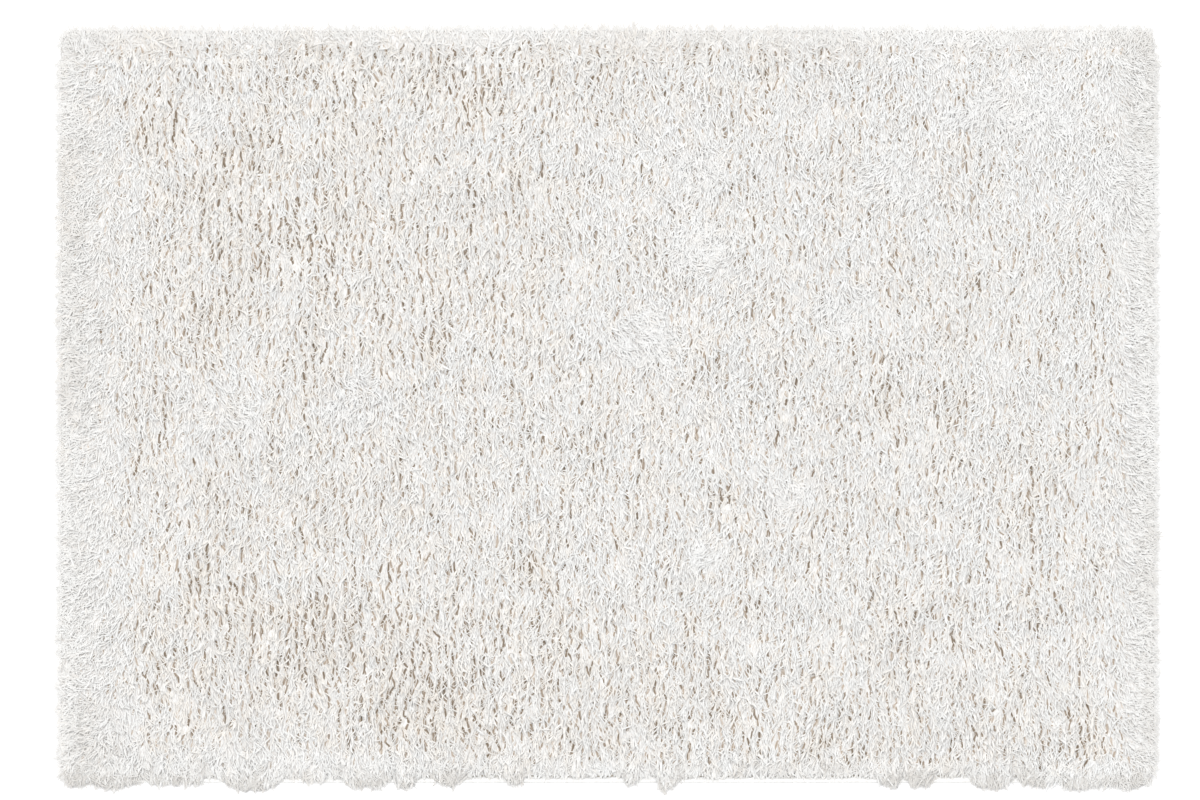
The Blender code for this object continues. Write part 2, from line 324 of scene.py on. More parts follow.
# A patch of the pile: where it is, how far the yarn in it turns, in degrees, how much flatter the
# yarn lies, and how much further apart the tufts stand
Patch = namedtuple("Patch", "x y half_x half_y turn flat gaps")
PATCHES = (
    # brushed places, where the yarn lies flat and swirls
    Patch(0.068, 0.156, 0.090, 0.070, 60, 1.0, -1.0),
    Patch(0.213, 0.336, 0.080, 0.090, -50, 1.0, -1.0),
    Patch(0.193, 0.505, 0.070, 0.070, 40, 0.7, -0.8),
    Patch(0.817, 0.632, 0.160, 0.060, -60, 0.8, -0.9),
    Patch(0.505, 0.209, 0.080, 0.070, 45, 0.7, -0.8),
    Patch(0.609, 0.484, 0.110, 0.080, -40, 0.5, -0.6),
    Patch(1.046, 0.473, 0.050, 0.080, 50, 0.6, -0.7),
    Patch(-0.786, -0.003, 0.100, 0.080, -50, 0.5, -0.6),
    Patch(-0.536, 0.018, 0.090, 0.070, 40, 0.5, -0.6),
    Patch(0.380, -0.194, 0.060, 0.050, 60, 0.8, -0.8),
    Patch(0.213, -0.310, 0.060, 0.050, -45, 0.7, -0.7),
    Patch(-0.838, 0.632, 0.060, 0.060, 45, 0.8, -0.8),
    Patch(-1.060, -0.690, 0.070, 0.090, 40, 0.6, -0.6),
    Patch(-0.820, -0.710, 0.300, 0.090, -15, 0.3, -0.28),
    Patch(0.980, 0.560, 0.260, 0.260, 20, 0.3, -0.4),
    # open places, where the tufts stand apart
    Patch(-0.520, 0.360, 0.460, 0.420, 0, -0.1, 0.30),
    Patch(-0.350, -0.560, 0.620, 0.260, 0, -0.1, 0.34),
    Patch(-0.300, 0.740, 0.480, 0.110, 0, -0.1, 0.30),
    Patch(0.500, -0.680, 0.600, 0.130, 0, -0.1, 0.24),
    Patch(-0.952, 0.611, 0.110, 0.080, 0, -0.3, 0.6),
    Patch(-0.744, 0.526, 0.100, 0.080, 0, -0.3, 0.6),
    Patch(-0.265, 0.664, 0.110, 0.060, 0, -0.3, 0.6),
    Patch(-0.661, 0.378, 0.100, 0.080, 0, -0.3, 0.5),
    Patch(-0.838, 0.198, 0.080, 0.100, 0, -0.3, 0.6),
    Patch(-0.827, -0.406, 0.110, 0.090, 0, -0.3, 0.6),
    Patch(-0.578, -0.448, 0.120, 0.090, 0, -0.3, 0.6),
    Patch(-0.390, -0.618, 0.120, 0.080, 0, -0.3, 0.7),
    Patch(0.588, 0.018, 0.050, 0.060, 0, -0.4, 1.0),
    Patch(0.234, -0.194, 0.040, 0.040, 0, -0.4, 1.0),
    Patch(-0.161, -0.346, 0.040, 0.040, 0, -0.4, 1.0),
    Patch(0.088, -0.152, 0.040, 0.050, 0, -0.4, 0.9),
    Patch(-0.380, 0.135, 0.040, 0.050, 0, -0.4, 0.9),
    Patch(0.879, -0.280, 0.022, 0.240, 0, -0.4, 1.0),
    Patch(0.983, -0.702, 0.090, 0.050, 0, -0.3, 0.7),
)


def lie_of_pile(x, y):
    """Turn of the yarn's lie from -Y, how flat it lies, and how far the tufts stand apart."""
    turn = np.radians(14) * wander(x, y, 0.10, 11) + np.radians(10) * wander(x, y, 0.035, 12)
    flat = 0.10 * wander(x, y, 0.11, 14)
    gaps = 0.23 - 0.07 * x - 0.07 * y + 0.20 * wander(x, y, 0.07, 15)
    gaps = gaps + 0.36 * wander(x, y * 0.30, 0.024, 16)
    for i, patch in enumerate(PATCHES):
        far = np.hypot((x - patch.x) / patch.half_x, (y - patch.y) / patch.half_y)
        near = 1 - smooth(far + 0.25 * wander(x, y, 0.03, 30 + i), 0.30, 1.20)
        swirl = 0.4 * wander(x, y, 0.025, 60 + i) + wander(x, y, 0.055, 90 + i)
        turn = turn + near * np.radians(patch.turn) * (0.3 + 1.2 * swirl)
        flat, gaps = flat + near * patch.flat, gaps + near * patch.gaps
    left, right = 1 + x / TIPS_HALF[0], 1 - x / TIPS_HALF[0]
    # at the rims the tufts lie closed
    calm = np.maximum.reduce([1 - smooth(left, 0.05, 0.19), 1 - smooth(right, 0.03, 0.11),
                              1 - smooth(TIPS_HALF[1] - y, 0.015, 0.065),
                              1 - smooth(y + 0.79, 0.02, 0.10 - 0.07 * smooth(x, -0.6, -0.2))])
    return turn, flat, gaps - 1.10 * calm


def rim_pull(x, y):
    """How strongly each point's yarn belongs to the rim of each side: left, right, back, front."""
    pulls = []
    for far, zone, most in ((x + BACKING_HALF[0], 0.130, 0.80), (BACKING_HALF[0] - x, 0.085, 0.88),
                            (BACKING_MIDDLE[1] + BACKING_HALF[1] - y, 0.058, 1.0),
                            (y - BACKING_MIDDLE[1] + BACKING_HALF[1], 0.045, 1.0)):
        edge = far + 0.018 * wander(x, y, 0.03, 13)
        pulls.append(most * (1 - smooth(edge, 0.01, zone)))
    return pulls


def chart_slits(rng):
    """The slits between each tuft and its two neighbours on the right, on the bent grid: x, y,
    direction, half length, half width and strength, which is 0 where the tufts touch."""
    across, down = TUFTS_EACH_WAY
    c, r = np.meshgrid(np.arange(-across, across), np.arange(-down, down), indexing="ij")
    slits = []
    for step in (0, 1):
        hx, hy = tuft_middle(c, r)
        ox, oy = tuft_middle(c + 1, r + step - (1 - c % 2))
        dx, dy = ox - hx, oy - hy
        tx, ty = dy / TUFT[1] ** 2, -dx / TUFT[0] ** 2
        x = ((hx + ox) / 2).ravel() + rng.uniform(-0.0035, 0.0035, c.size)
        y = ((hy + oy) / 2).ravel() + rng.uniform(-0.0040, 0.0040, c.size)
        turn = 0.65 * np.arctan2(tx, -ty).ravel()
        __, __, gaps = lie_of_pile(x, y)
        pulls = rim_pull(x, y)
        parting = 1 - np.abs(2 * pulls[2] - 1)
        gaps = gaps + 0.35 * np.clip(parting, 0, 1) + 0.20 * pulls[3]
        strength = np.clip(0.42 + 0.60 * gaps + 0.25 * rng.normal(size=len(x)), 0, 1.1)
        half_length = (0.0072 + 0.0060 * strength) * rng.uniform(0.65, 1.45, len(x))
        half_width = np.where(strength > 0.15, 0.0009 + 0.0019 * strength, 0.0)
        slits.append(np.stack((x, y, turn, half_length, half_width, strength), 1))
    return np.stack(slits, 1).reshape(*c.shape, 2, 6)


def push_aside(x, y, slits):
    """How the yarn at each point is pushed aside by the slits, how far it sinks towards them,
    and the direction that they turn it to."""
    bent_x, bent_y = warp(x, y)
    column = np.floor((x + bent_x) / TUFT[0]).astype(int) + TUFTS_EACH_WAY[0]
    row = np.floor((y + bent_y) / TUFT[1]).astype(int) + TUFTS_EACH_WAY[1]
    push_x, push_y, sink = np.zeros(len(x)), np.zeros(len(x)), np.zeros(len(x))
    way = np.zeros((2, len(x)))
    for dc in (-1, 0):
        for dr, k in ((-1, 0), (-1, 1), (0, 0), (0, 1), (1, 0), (1, 1)):
            found = slits[np.clip(column + dc, 0, slits.shape[0] - 1),
                          np.clip(row + dr, 0, slits.shape[1] - 1), k]
            slit_x, slit_y, turn, half_length, half_width, strength = found.T
            ax, ay = x + bent_x - slit_x, y + bent_y - slit_y
            sin, cos = np.sin(turn), np.cos(turn)
            along, across = ax * sin - ay * cos, ax * cos + ay * sin
            inner = np.sqrt(np.clip(1 - (along / half_length) ** 2, 0, 1))
            width = half_width * inner
            side = np.where(across < 0, -1.0, 1.0)
            off = np.abs(across)
            shift = np.where(off < SLIT_SPREAD, width * (1 - off / SLIT_SPREAD), 0) * side
            push_x += shift * cos
            push_y += shift * sin
            near = strength * inner * (1 - smooth(off, 0.0015, 0.0085))
            sink = np.maximum(sink, near)
            way += near * np.stack((sin, -cos))
    return push_x, push_y, sink, way


def parting_paths(slits):
    """A wavy path along the bottom of each strong slit, and how strong that slit is."""
    every = slits.reshape(-1, 6)
    shown = ((every[:, 5] > 0.24) & (room(every[:, 0], every[:, 1]) > 0.030)
             & (inside_edge(every[:, 0], every[:, 1]) > 0.016))
    x, y, turn, half_length, __, strength = every[shown].T
    path = np.empty((len(x), 5, 3))
    for k, share in enumerate((-1.0, -0.5, 0.0, 0.5, 1.0)):
        bent_x = x + share * half_length * np.sin(turn)
        bent_y = y - share * half_length * np.cos(turn)
        px, py = bent_x, bent_y
        for __ in range(3):      # back from the bent grid to the rug
            shift_x, shift_y = warp(px, py)
            px, py = bent_x - shift_x, bent_y - shift_y
        path[:, k, 0], path[:, k, 1] = px, py
        path[:, k, 2] = (surface(px, py) + lump(px, py)) * CORE_RISE + 0.0006
    return path, strength


# A strand: its length, how far strands differ in direction, in degrees, how much it bends, where
# its four points lie along it and in the pile's height, and how far strands differ in height
Growth = namedtuple("Growth", "length spread curl sway shares rise layer")
YARN = Growth(0.0270, 14, 0.45, 0.0018, (0.0, 0.24, 0.75, 1.0), (0.0, 0.86, 1.0, 0.84), 0.0016)
WISP = Growth(0.0225, 17, 0.62, 0.0011, (0.0, 0.32, 0.70, 1.0), (0.74, 0.99, 1.04, 0.99), 0.0013)


def grow(rng, x, y, slits, growth):
    """The path of the strand that is rooted at each point, and the number of its tuft."""
    n = len(x)
    to_x, to_y, tuft, __ = nearest_tuft(x, y)
    per_tuft = by_tuft(6, tuft, 4)

    turn, flat, __ = lie_of_pile(x, y)
    pulls = rim_pull(x, y)
    rim = np.maximum.reduce(pulls)
    rough = np.clip(np.maximum(flat, rim), 0, 1)
    turn = turn + np.radians(15) * per_tuft[:, 0]
    length = growth.length * (1 + 0.16 * np.clip(flat, -1, 1) + 0.12 * rng.normal(size=n))
    way_x, way_y = np.sin(turn), -np.cos(turn)

    # the rim: outward at both ends and the back, and straight down at the front
    choice = 0.5 + 0.30 * per_tuft[:, 3] + 0.40 * rng.normal(size=n)
    swirl = np.radians(50) * pulls[0] * wander(x, y, 0.022, 18)
    way_x, way_y = (way_x * np.cos(swirl) - way_y * np.sin(swirl),
                    way_x * np.sin(swirl) + way_y * np.cos(swirl))
    for k, (pull, (nx, ny)) in enumerate(zip(pulls, RIM_WAYS)):
        if k == 2:           # at the back a tuft turns outward as a whole or not at all
            pull = np.where((pull > choice) & (pull > 0.02), np.maximum(pull, 0.8), 0.0)
        way_x = way_x * (1 - pull) + nx * pull
        way_y = way_y * (1 - pull) + ny * pull
    for clump in FRONT_CLUMPS:
        off = (x - clump.middle) / clump.half_width
        near = pulls[3] * (1 - smooth(np.abs(off), 0.6, 1.2))
        way_x -= 0.45 * near * off

    # beside a slit, along it; then each strand by itself
    __, __, __, slit_way = push_aside(x, y, slits)
    way_x, way_y = way_x + 1.6 * slit_way[0], way_y + 1.6 * slit_way[1]
    size = np.maximum(np.hypot(way_x, way_y), 0.25)
    swing = (np.radians(growth.spread) * (1 + 0.7 * rough + pulls[0]) * rng.normal(size=n)
             + np.radians(22) * (rough + 0.8 * pulls[0]) * per_tuft[:, 0])
    sin, cos = np.sin(swing), np.cos(swing)
    way_x, way_y = (way_x * cos - way_y * sin) / size, (way_x * sin + way_y * cos) / size
    if growth is YARN:       # the locks at the edge are longer
        length = length + 0.016 * smooth(-inside_edge(x, y), -EDGE_ZONE, -0.013)

    # no strand reaches far past the line where the tips end
    margin = 0.0036 * rng.normal(size=n) - 0.0015 - 0.010 * pulls[2]
    for __ in range(4):
        over = margin - room(x + way_x * length, y + way_y * length)
        length = np.maximum(length - np.maximum(over, 0) * 0.9, 0.006)

    pull = np.clip(0.20 + 0.10 * per_tuft[:, 1], 0.0, 0.4)
    layer = 0.0018 * per_tuft[:, 2] + growth.layer * rng.normal(size=n)
    layer = layer * (1 - 0.7 * np.maximum(np.clip(flat, 0, 1), rim))
    lumps = lump(x, y)
    bow = 0.5 * growth.curl * rng.normal(size=n) * length
    path = np.empty((n, 4, 3))
    sway = 0.0
    for k in range(4):
        share = growth.shares[k]
        sway = sway + growth.sway * rng.normal(size=n) * (k > 1)
        aside = sway + bow * share ** 2
        px = x + way_x * length * share - way_y * aside + pull * to_x
        py = y + way_y * length * share + way_x * aside + pull * to_y
        push_x, push_y, sink, __ = push_aside(px, py, slits)
        __, __, __, inside = nearest_tuft(px, py)
        path[:, k, 0] = px + push_x
        path[:, k, 1] = py + push_y
        top = surface(path[:, k, 0], path[:, k, 1])
        above = lumps + layer * (k > 0) - 0.006 * sink - 0.0034 * (1 - inside)
        path[:, k, 2] = growth.rise[k] * (top + above * top / PILE_TOP)
    if growth is YARN:
        path[:, 0, 2] = YARN_FOOT
    path[:, 1:, 2] = np.clip(path[:, 1:, 2], STRAND_LOW, STRAND_HIGH)
    return path, tuft


# ---------------------------------------------------------------- materials

def node(tree, kind, **values):
    made = tree.nodes.new(kind)
    for key, value in values.items():
        setattr(made, key, value)
    return made


def ramp(tree, stops, fac):
    made = tree.nodes.new("ShaderNodeValToRGB")
    elements = made.color_ramp.elements
    while len(elements) > 1:
        elements.remove(elements[-1])
    elements[0].position, elements[0].color = stops[0][0], (*stops[0][1], 1)
    for position, colour in stops[1:]:
        elements.new(position).color = (*colour, 1)
    tree.links.new(fac, made.inputs[0])
    return made.outputs[0]


def mix(tree, kind, factor, a, b):
    made = node(tree, "ShaderNodeMix", data_type="RGBA", blend_type=kind)
    for socket, value in ((made.inputs[0], factor), (made.inputs[6], a), (made.inputs[7], b)):
        if isinstance(value, (int, float)):
            socket.default_value = value
        elif isinstance(value, tuple):
            socket.default_value = (*value, 1)
        else:
            tree.links.new(value, socket)
    return made.outputs[2]


def math_node(tree, operation, a, b=None):
    made = node(tree, "ShaderNodeMath", operation=operation)
    for socket, value in zip(made.inputs, (a, b)):
        if isinstance(value, (int, float)):
            socket.default_value = value
        elif value is not None:
            tree.links.new(value, socket)
    return made.outputs[0]


def new_material(name, roughness, specular):
    """A material with its node tree and its shader."""
    material = bpy.data.materials.new(name)
    material.use_nodes = True
    shader = material.node_tree.nodes["Principled BSDF"]
    shader.inputs["Roughness"].default_value = roughness
    shader.inputs["Specular IOR Level"].default_value = specular
    return material, material.node_tree, shader


def fibre_noise(tree, place, stretch, scale=1.0):
    """Noise that is drawn out along the fibres."""
    mapping = node(tree, "ShaderNodeMapping")
    mapping.inputs["Scale"].default_value = stretch
    tree.links.new(place, mapping.inputs[0])
    fibres = node(tree, "ShaderNodeTexNoise")
    fibres.inputs["Scale"].default_value = scale
    fibres.inputs["Detail"].default_value = 3.0
    tree.links.new(mapping.outputs[0], fibres.inputs[0])
    return fibres.outputs[0]


def add_bump(tree, shader, height, strength, distance):
    bump = tree.nodes.new("ShaderNodeBump")
    bump.inputs["Strength"].default_value = strength
    bump.inputs["Distance"].default_value = distance
    tree.links.new(height, bump.inputs["Height"])
    tree.links.new(bump.outputs[0], shader.inputs["Normal"])


def thread_uv(tree):
    """The yarn's UV map, and its two parts: the tone and place across, and the place along."""
    uv = node(tree, "ShaderNodeUVMap", uv_map="OFBake").outputs[0]
    split = tree.nodes.new("ShaderNodeSeparateXYZ")
    tree.links.new(uv, split.inputs[0])
    return uv, split.outputs[0], split.outputs[1]


def yarn_material():
    """Off-white yarn: nearly white at its tip, darker and warmer towards its root as painted
    shade, and streaked along its fibres. Its tone and hue differ from thread to thread."""
    material, tree, shader = new_material("pile_yarn", 0.9, 0.15)
    shader.inputs["Sheen Weight"].default_value = 0.5
    shader.inputs["Sheen Roughness"].default_value = 0.5
    uv, u, v = thread_uv(tree)
    # painted shade: darker and warmer towards the root, where the pile shades the yarn
    along = ramp(tree, ((0.0, (0.84, 0.79, 0.74)), (0.20, (0.90, 0.88, 0.86)),
                        (0.42, (0.93, 0.925, 0.915)), (1.0, (0.94, 0.94, 0.935))), v)
    # the darker tones also serve as painted shade, given to threads beside partings and at the
    # rims
    tone = ramp(tree, ((0.0, (0.80, 0.775, 0.745)), (0.3, (0.928, 0.918, 0.905)),
                       (0.7, (0.968, 0.968, 0.966)), (1.0, (0.980, 0.980, 0.980))), u)
    place = math_node(tree, "FRACT", math_node(tree, "MULTIPLY", u, TONES))
    hue = ramp(tree, ((0.125, (0.974, 0.988, 1.0)), (0.375, (0.992, 0.996, 1.0)),
                      (0.625, (1.0, 0.988, 0.970)), (0.875, (1.0, 0.976, 0.942))), place)
    fibres = fibre_noise(tree, uv, (COLUMNS * 6.0, 3.0, 1.0))
    streak = ramp(tree, ((0.36, (0.84, 0.825, 0.805)), (0.50, (0.945, 0.94, 0.935)),
                         (0.62, (1.0, 1.0, 1.0))), fibres)
    colour = along
    for layer in (tone, streak, hue):
        colour = mix(tree, "MULTIPLY", 1.0, colour, layer)
    tree.links.new(colour, shader.inputs["Base Color"])
    add_bump(tree, shader, fibres, 0.3, 0.0006)
    return material


# how deep the painted shade of a slit is, across and along its parting
SLIT_SHADE_ACROSS = ((0.06, (0, 0, 0)), (0.32, (1, 1, 1)), (0.68, (1, 1, 1)), (0.94, (0, 0, 0)))
SLIT_SHADE_ALONG = ((0.0, (0.3, 0.3, 0.3)), (0.12, (1, 1, 1)), (0.88, (1, 1, 1)), (1.0, (0.3, 0.3, 0.3)))


def parting_feet_and_shade_material():
    """The yarn's feet, seen down in a parting: brown to tan, streaked, darkened as painted shade
    of the slit, and paler at its sides.
    """
    material, tree, shader = new_material("partings", 0.95, 0.1)
    uv, u, v = thread_uv(tree)
    # brown yarn feet, darkened as painted shade: the darkest tones go to the strongest slits
    tone = ramp(tree, ((0.0, (0.22, 0.175, 0.13)), (0.5, (0.45, 0.375, 0.305)),
                       (1.0, (0.72, 0.65, 0.58))), u)
    fibres = fibre_noise(tree, uv, (COLUMNS * 3.0, 4.0, 1.0))
    streak = ramp(tree, ((0.35, (0.76, 0.74, 0.71)), (0.6, (1.0, 1.0, 1.0))), fibres)
    colour = mix(tree, "MULTIPLY", 1.0, tone, streak)
    place = math_node(tree, "FRACT", math_node(tree, "MULTIPLY", u, COLUMNS))
    # painted shade of the slit: deepest in the middle, fading to pale tan at the sides and ends
    slit_shade = math_node(tree, "MULTIPLY", ramp(tree, SLIT_SHADE_ACROSS, place), ramp(tree, SLIT_SHADE_ALONG, v))
    tree.links.new(mix(tree, "MIX", slit_shade, (0.80, 0.76, 0.72), colour), shader.inputs["Base Color"])
    return material


# ---------------------------------------------------------------- pieces

def add(name, mesh, material, nodes=()):
    piece = bpy.data.objects.new(name, mesh)
    bpy.context.scene.collection.objects.link(piece)
    mesh.materials.append(material)
    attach(piece, "root")
    if nodes:
        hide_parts(*nodes)
    return piece


def tone_column(rng, x, y, tuft, path, slits):
    """The place in the UV map for each thread's tone and hue. They drift over the rug, from tuft
    to tuft and by themselves. A thread beside a parting is darker, as painted shade of the
    parting;
    at the rims, and most at the front, it is darker as painted shade of the pile's flank, and
    cooler."""
    __, flat, gaps = lie_of_pile(x, y)
    left, right, back, front = rim_pull(x, y)
    parting_shade = np.maximum(push_aside(path[:, 1, 0], path[:, 1, 1], slits)[2],
                      push_aside(path[:, 2, 0], path[:, 2, 1], slits)[2])
    # painted shade: the tone is lowered beside partings, at the rims and most at the front
    tone = (0.72 + 0.03 * x + 0.05 * y + 0.10 * wander(x, y, 0.16, 17)
            - 0.20 * np.clip(flat, 0, 1) - 0.18 * np.clip(gaps, 0, 1)
            + 0.10 * np.clip(gaps, -1, 0) - 0.33 * parting_shade
            - np.maximum.reduce([0.36 * left, 0.36 * right, 0.34 * back, 0.50 * front])
            + 0.09 * by_tuft(8, tuft)
            + 0.08 * (1 - 0.7 * np.maximum(left, right)) * rng.normal(size=len(x)))
    hue = (0.29 + 0.25 * np.clip(gaps, -0.6, 1) + 0.15 * wander(x, y, 0.03, 19)
           + 0.26 * by_tuft(9, tuft)
           + 0.10 * rng.normal(size=len(x))
           - 0.08 * left - 0.20 * right - 0.20 * front - 0.06 * x)
    return (np.floor(np.clip(tone, 0, 0.999) * TONES) * HUES
            + np.floor(np.clip(hue, 0, 0.999) * HUES))


yarn = yarn_material()
rng = np.random.default_rng(7)
slits = chart_slits(rng)

# the yarns, closer together near the edge
x, y = jittered_grid(rng, YARN_GRID, 0.45)
ex, ey = jittered_grid(rng, YARN_GRID, 0.45)
more = inside_edge(ex, ey) < EDGE_ZONE
x, y = np.concatenate((x, ex[more])), np.concatenate((y, ey[more]))
rooted = inside_edge(x, y) > BINDING_WIDTH + ROOT_GAP
x, y = x[rooted], y[rooted]
path, tuft = grow(rng, x, y, slits, YARN)
n = len(x)
radius = rng.uniform(0.80, 1.2, n)[:, None] * YARN_RADII
turn = rng.uniform(0, 2 * math.pi, n)
column = tone_column(rng, x, y, tuft, path, slits)
order = np.argsort(x, kind="stable")
for i, some in enumerate(np.array_split(order, YARN_PARTS)):
    mesh = strand_mesh(f"pile_{i + 1}", path[some], radius[some], turn[some], column[some])
    add(f"pile_{i + 1}", mesh, yarn, ("shag_pile",))

# the wisps, which are the yarns' loose ends: closer together at the rim, where the pile lies flat
# and along the parting at the back
x, y = jittered_grid(rng, WISP_GRID, 0.48)
ex, ey = jittered_grid(rng, WISP_GRID, 0.48)
lies_flat, back = lie_of_pile(ex, ey)[1], rim_pull(ex, ey)[2]
more = (room(ex, ey) < 0.060) | (lies_flat > 0.35) | ((back > 0.02) & (back < 0.98))
x, y = np.concatenate((x, ex[more])), np.concatenate((y, ey[more]))
rooted = room(x, y) > 0.012
x, y = x[rooted], y[rooted]
path, tuft = grow(rng, x, y, slits, WISP)
n = len(x)
radius = rng.uniform(0.75, 1.25, n)[:, None] * WISP_RADII
rim = np.maximum.reduce(rim_pull(x, y))
tilt = np.radians(22) * (1 - 0.45 * rim) * rng.normal(size=n)
column = tone_column(rng, x, y, tuft, path, slits)
radius = radius * (1 - 0.15 * rim)[:, None]
calm = np.clip(np.maximum(rim, -lie_of_pile(x, y)[2]), 0, 1)
order = np.argsort(x, kind="stable")
for i, some in enumerate(np.array_split(order, WISP_PARTS)):
    mesh = wisp_mesh(f"wisps_{i + 1}", path[some], radius[some], tilt[some], column[some],
                     calm[some])
    add(f"wisps_{i + 1}", mesh, yarn)

# the partings: brown yarn feet laid along the slits, darkened as painted shade of the slits
path, strength = parting_paths(slits)
n = len(path)
radius = (0.0011 + 0.0017 * strength)[:, None] * rng.uniform(0.6, 1.4, (n, 3))
# a stronger slit takes a darker tone, as painted shade
column = np.floor(np.clip(1.15 - strength + 0.2 * rng.normal(size=n), 0, 0.999) * COLUMNS)
mesh = wisp_mesh("partings", path, radius, np.zeros(n), column, np.zeros(n))
add("partings", mesh, parting_feet_and_shade_material())


def plan_map(mesh, verts):
    """A UV map that lays the mesh out as it is seen from above."""
    corner = np.empty(len(mesh.loops), np.int32)
    mesh.loops.foreach_get("vertex_index", corner)
    plan = (verts[:, :2] - verts[:, :2].min(0)) / np.ptp(verts[:, :2], axis=0)
    uv = mesh.uv_layers.new(name="OFBake")
    uv.uv.foreach_set("vector", (0.002 + 0.996 * plan[corner]).astype(np.float32).ravel())


def core_mesh():
    """The dense pile under the tips, as one lumpy surface that turns down at the rim."""
    nx, ny = CORE_CELLS
    u, v = np.meshgrid(np.linspace(-1, 1, nx + 1), np.linspace(-1, 1, ny + 1))
    u, v = u.ravel(), v.ravel()
    half, round_off = TIPS_HALF - CORE_INSET, 0.030
    gx, gy = u * half[0], v * half[1]
    ax = np.maximum(np.abs(gx) - half[0] + round_off, 0) / round_off
    ay = np.maximum(np.abs(gy) - half[1] + round_off, 0) / round_off
    gx -= np.sign(gx) * round_off * ax * (1 - np.sqrt(1 - ay ** 2 / 2))
    gy -= np.sign(gy) * round_off * ay * (1 - np.sqrt(1 - ax ** 2 / 2))
    front = tip_line_front(gx) + 0.0045
    gy = gy + (front + half[1]) * smooth(-gy, 0.55, half[1])
    edge = room(gx, gy)
    gz = ((surface(gx, gy) + lump(gx, gy) * smooth(edge, 0.0, 0.03)) * CORE_RISE
          + 0.0010 * wander(gx, gy, 0.014, 21) * smooth(edge, 0.01, 0.03))
    verts = np.stack((gx, gy, np.maximum(gz, 0.0045)), 1)
    i, j = np.meshgrid(np.arange(nx), np.arange(ny))
    a = (j * (nx + 1) + i).ravel()
    faces = np.stack((a, a + 1, a + nx + 2, a + nx + 1), 1).tolist()
    row = np.arange(nx + 1)
    side = np.arange(1, ny + 1) * (nx + 1)
    loop = np.concatenate((row, side + nx, ny * (nx + 1) + row[::-1][1:], side[::-1][1:]))
    hem = verts[loop] * np.array((0.997, 0.997, 0)) + np.array((0, 0, 0.0032))
    first = len(verts)
    for k in range(len(loop)):
        after = (k + 1) % len(loop)
        faces.append([int(loop[k]), first + k, first + after, int(loop[after])])
    mesh = bpy.data.meshes.new("pile_core")
    verts = np.concatenate((verts, hem))
    mesh.from_pydata(verts.tolist(), [], faces)
    mesh.polygons.foreach_set("use_smooth", np.ones(len(faces), bool))
    plan_map(mesh, verts)
    return mesh


def core_material():
    """The dense pile between the tips: warm off-white darkened as painted shade, streaked by its
    fibres.
    """
    material, tree, shader = new_material("pile_core", 0.95, 0.1)
    place = node(tree, "ShaderNodeTexCoord").outputs["Object"]
    fibres = fibre_noise(tree, place, (1.0, 0.22, 1.0), 420.0)
    # darker than the yarn above it: painted shade of the deep pile
    streak = ramp(tree, ((0.38, (0.69, 0.66, 0.63)), (0.49, (0.79, 0.78, 0.765)),
                         (0.60, (0.85, 0.85, 0.845))), fibres)
    tree.links.new(streak, shader.inputs["Base Color"])
    add_bump(tree, shader, fibres, 0.6, 0.002)
    return material


core = add("pile_core", core_mesh(), core_material())


# ---------------------------------------------------------------- ground cloth and binding

CLOTH_INSET = 0.0015         # the cloth's cut edge lies inside the folded tape
CLOTH_BOTTOM, CLOTH_THICK, TAPE_THICK = 0.0003, 0.0022, 0.0006
STITCH_PITCH, STITCH_RADIUS = 0.0060, 0.00032
STITCH_INSET = 0.0088        # from the binding's outer edge


def rounded_edge(inset, step):
    """Points round the backing at an inset from its edge, and the way out at each."""
    half, radius = BACKING_HALF - inset, BACKING_RADIUS - inset
    straight = half - radius
    points, ways = [], []
    corners = ((1, -1, -90), (1, 1, 0), (-1, 1, 90), (-1, -1, 180))
    for k, (sx, sy, start) in enumerate(corners):
        centre = BACKING_MIDDLE + straight * np.array((sx, sy))
        for angle in np.radians(np.linspace(start, start + 90, 9)):
            ways.append((math.cos(angle), math.sin(angle)))
            points.append(centre + radius * np.array(ways[-1]))
        nx, ny, __ = corners[(k + 1) % 4]
        stop = BACKING_MIDDLE + straight * np.array((nx, ny)) + radius * np.array(ways[-1])
        run = np.linalg.norm(stop - points[-1])
        count = max(int(round(run / step)), 1)
        first = points[-1]
        for i in range(1, count):
            points.append(first + (stop - first) * i / count)
            ways.append(ways[-1])
    return np.array(points), np.array(ways)


def cloth_mesh():
    """The woven ground cloth: a thin closed sheet, a little lifted at its bound edge."""
    edge, __ = rounded_edge(CLOTH_INSET, step=0.040)
    verts, faces = [], []
    levels = (1.0, 0.985, 0.95, 0.85, 0.65, 0.42, 0.20)
    n = len(edge)
    for thick in (0.0, CLOTH_THICK):
        first = len(verts)
        for level in levels:
            ring = BACKING_MIDDLE + (edge - BACKING_MIDDLE) * level
            lift = CLOTH_BOTTOM + 0.0005 * smooth(level, 0.94, 0.985) + thick
            verts += [(px, py, lift) for px, py in ring]
        verts.append((*BACKING_MIDDLE, CLOTH_BOTTOM + thick))
        for k in range(len(levels) - 1):
            for i in range(n):
                j = (i + 1) % n
                a, b = first + k * n, first + (k + 1) * n
                quad = (a + i, a + j, b + j, b + i)
                faces.append(quad if thick else quad[::-1])
        last = first + (len(levels) - 1) * n
        for i in range(n):
            tri = (last + i, last + (i + 1) % n, len(verts) - 1)
            faces.append(tri if thick else tri[::-1])
    top = len(levels) * n + 1
    for i in range(n):
        j = (i + 1) % n
        faces.append((i, j, top + j, top + i))
    mesh = bpy.data.meshes.new("ground_cloth")
    mesh.from_pydata(verts, [], faces)
    return mesh


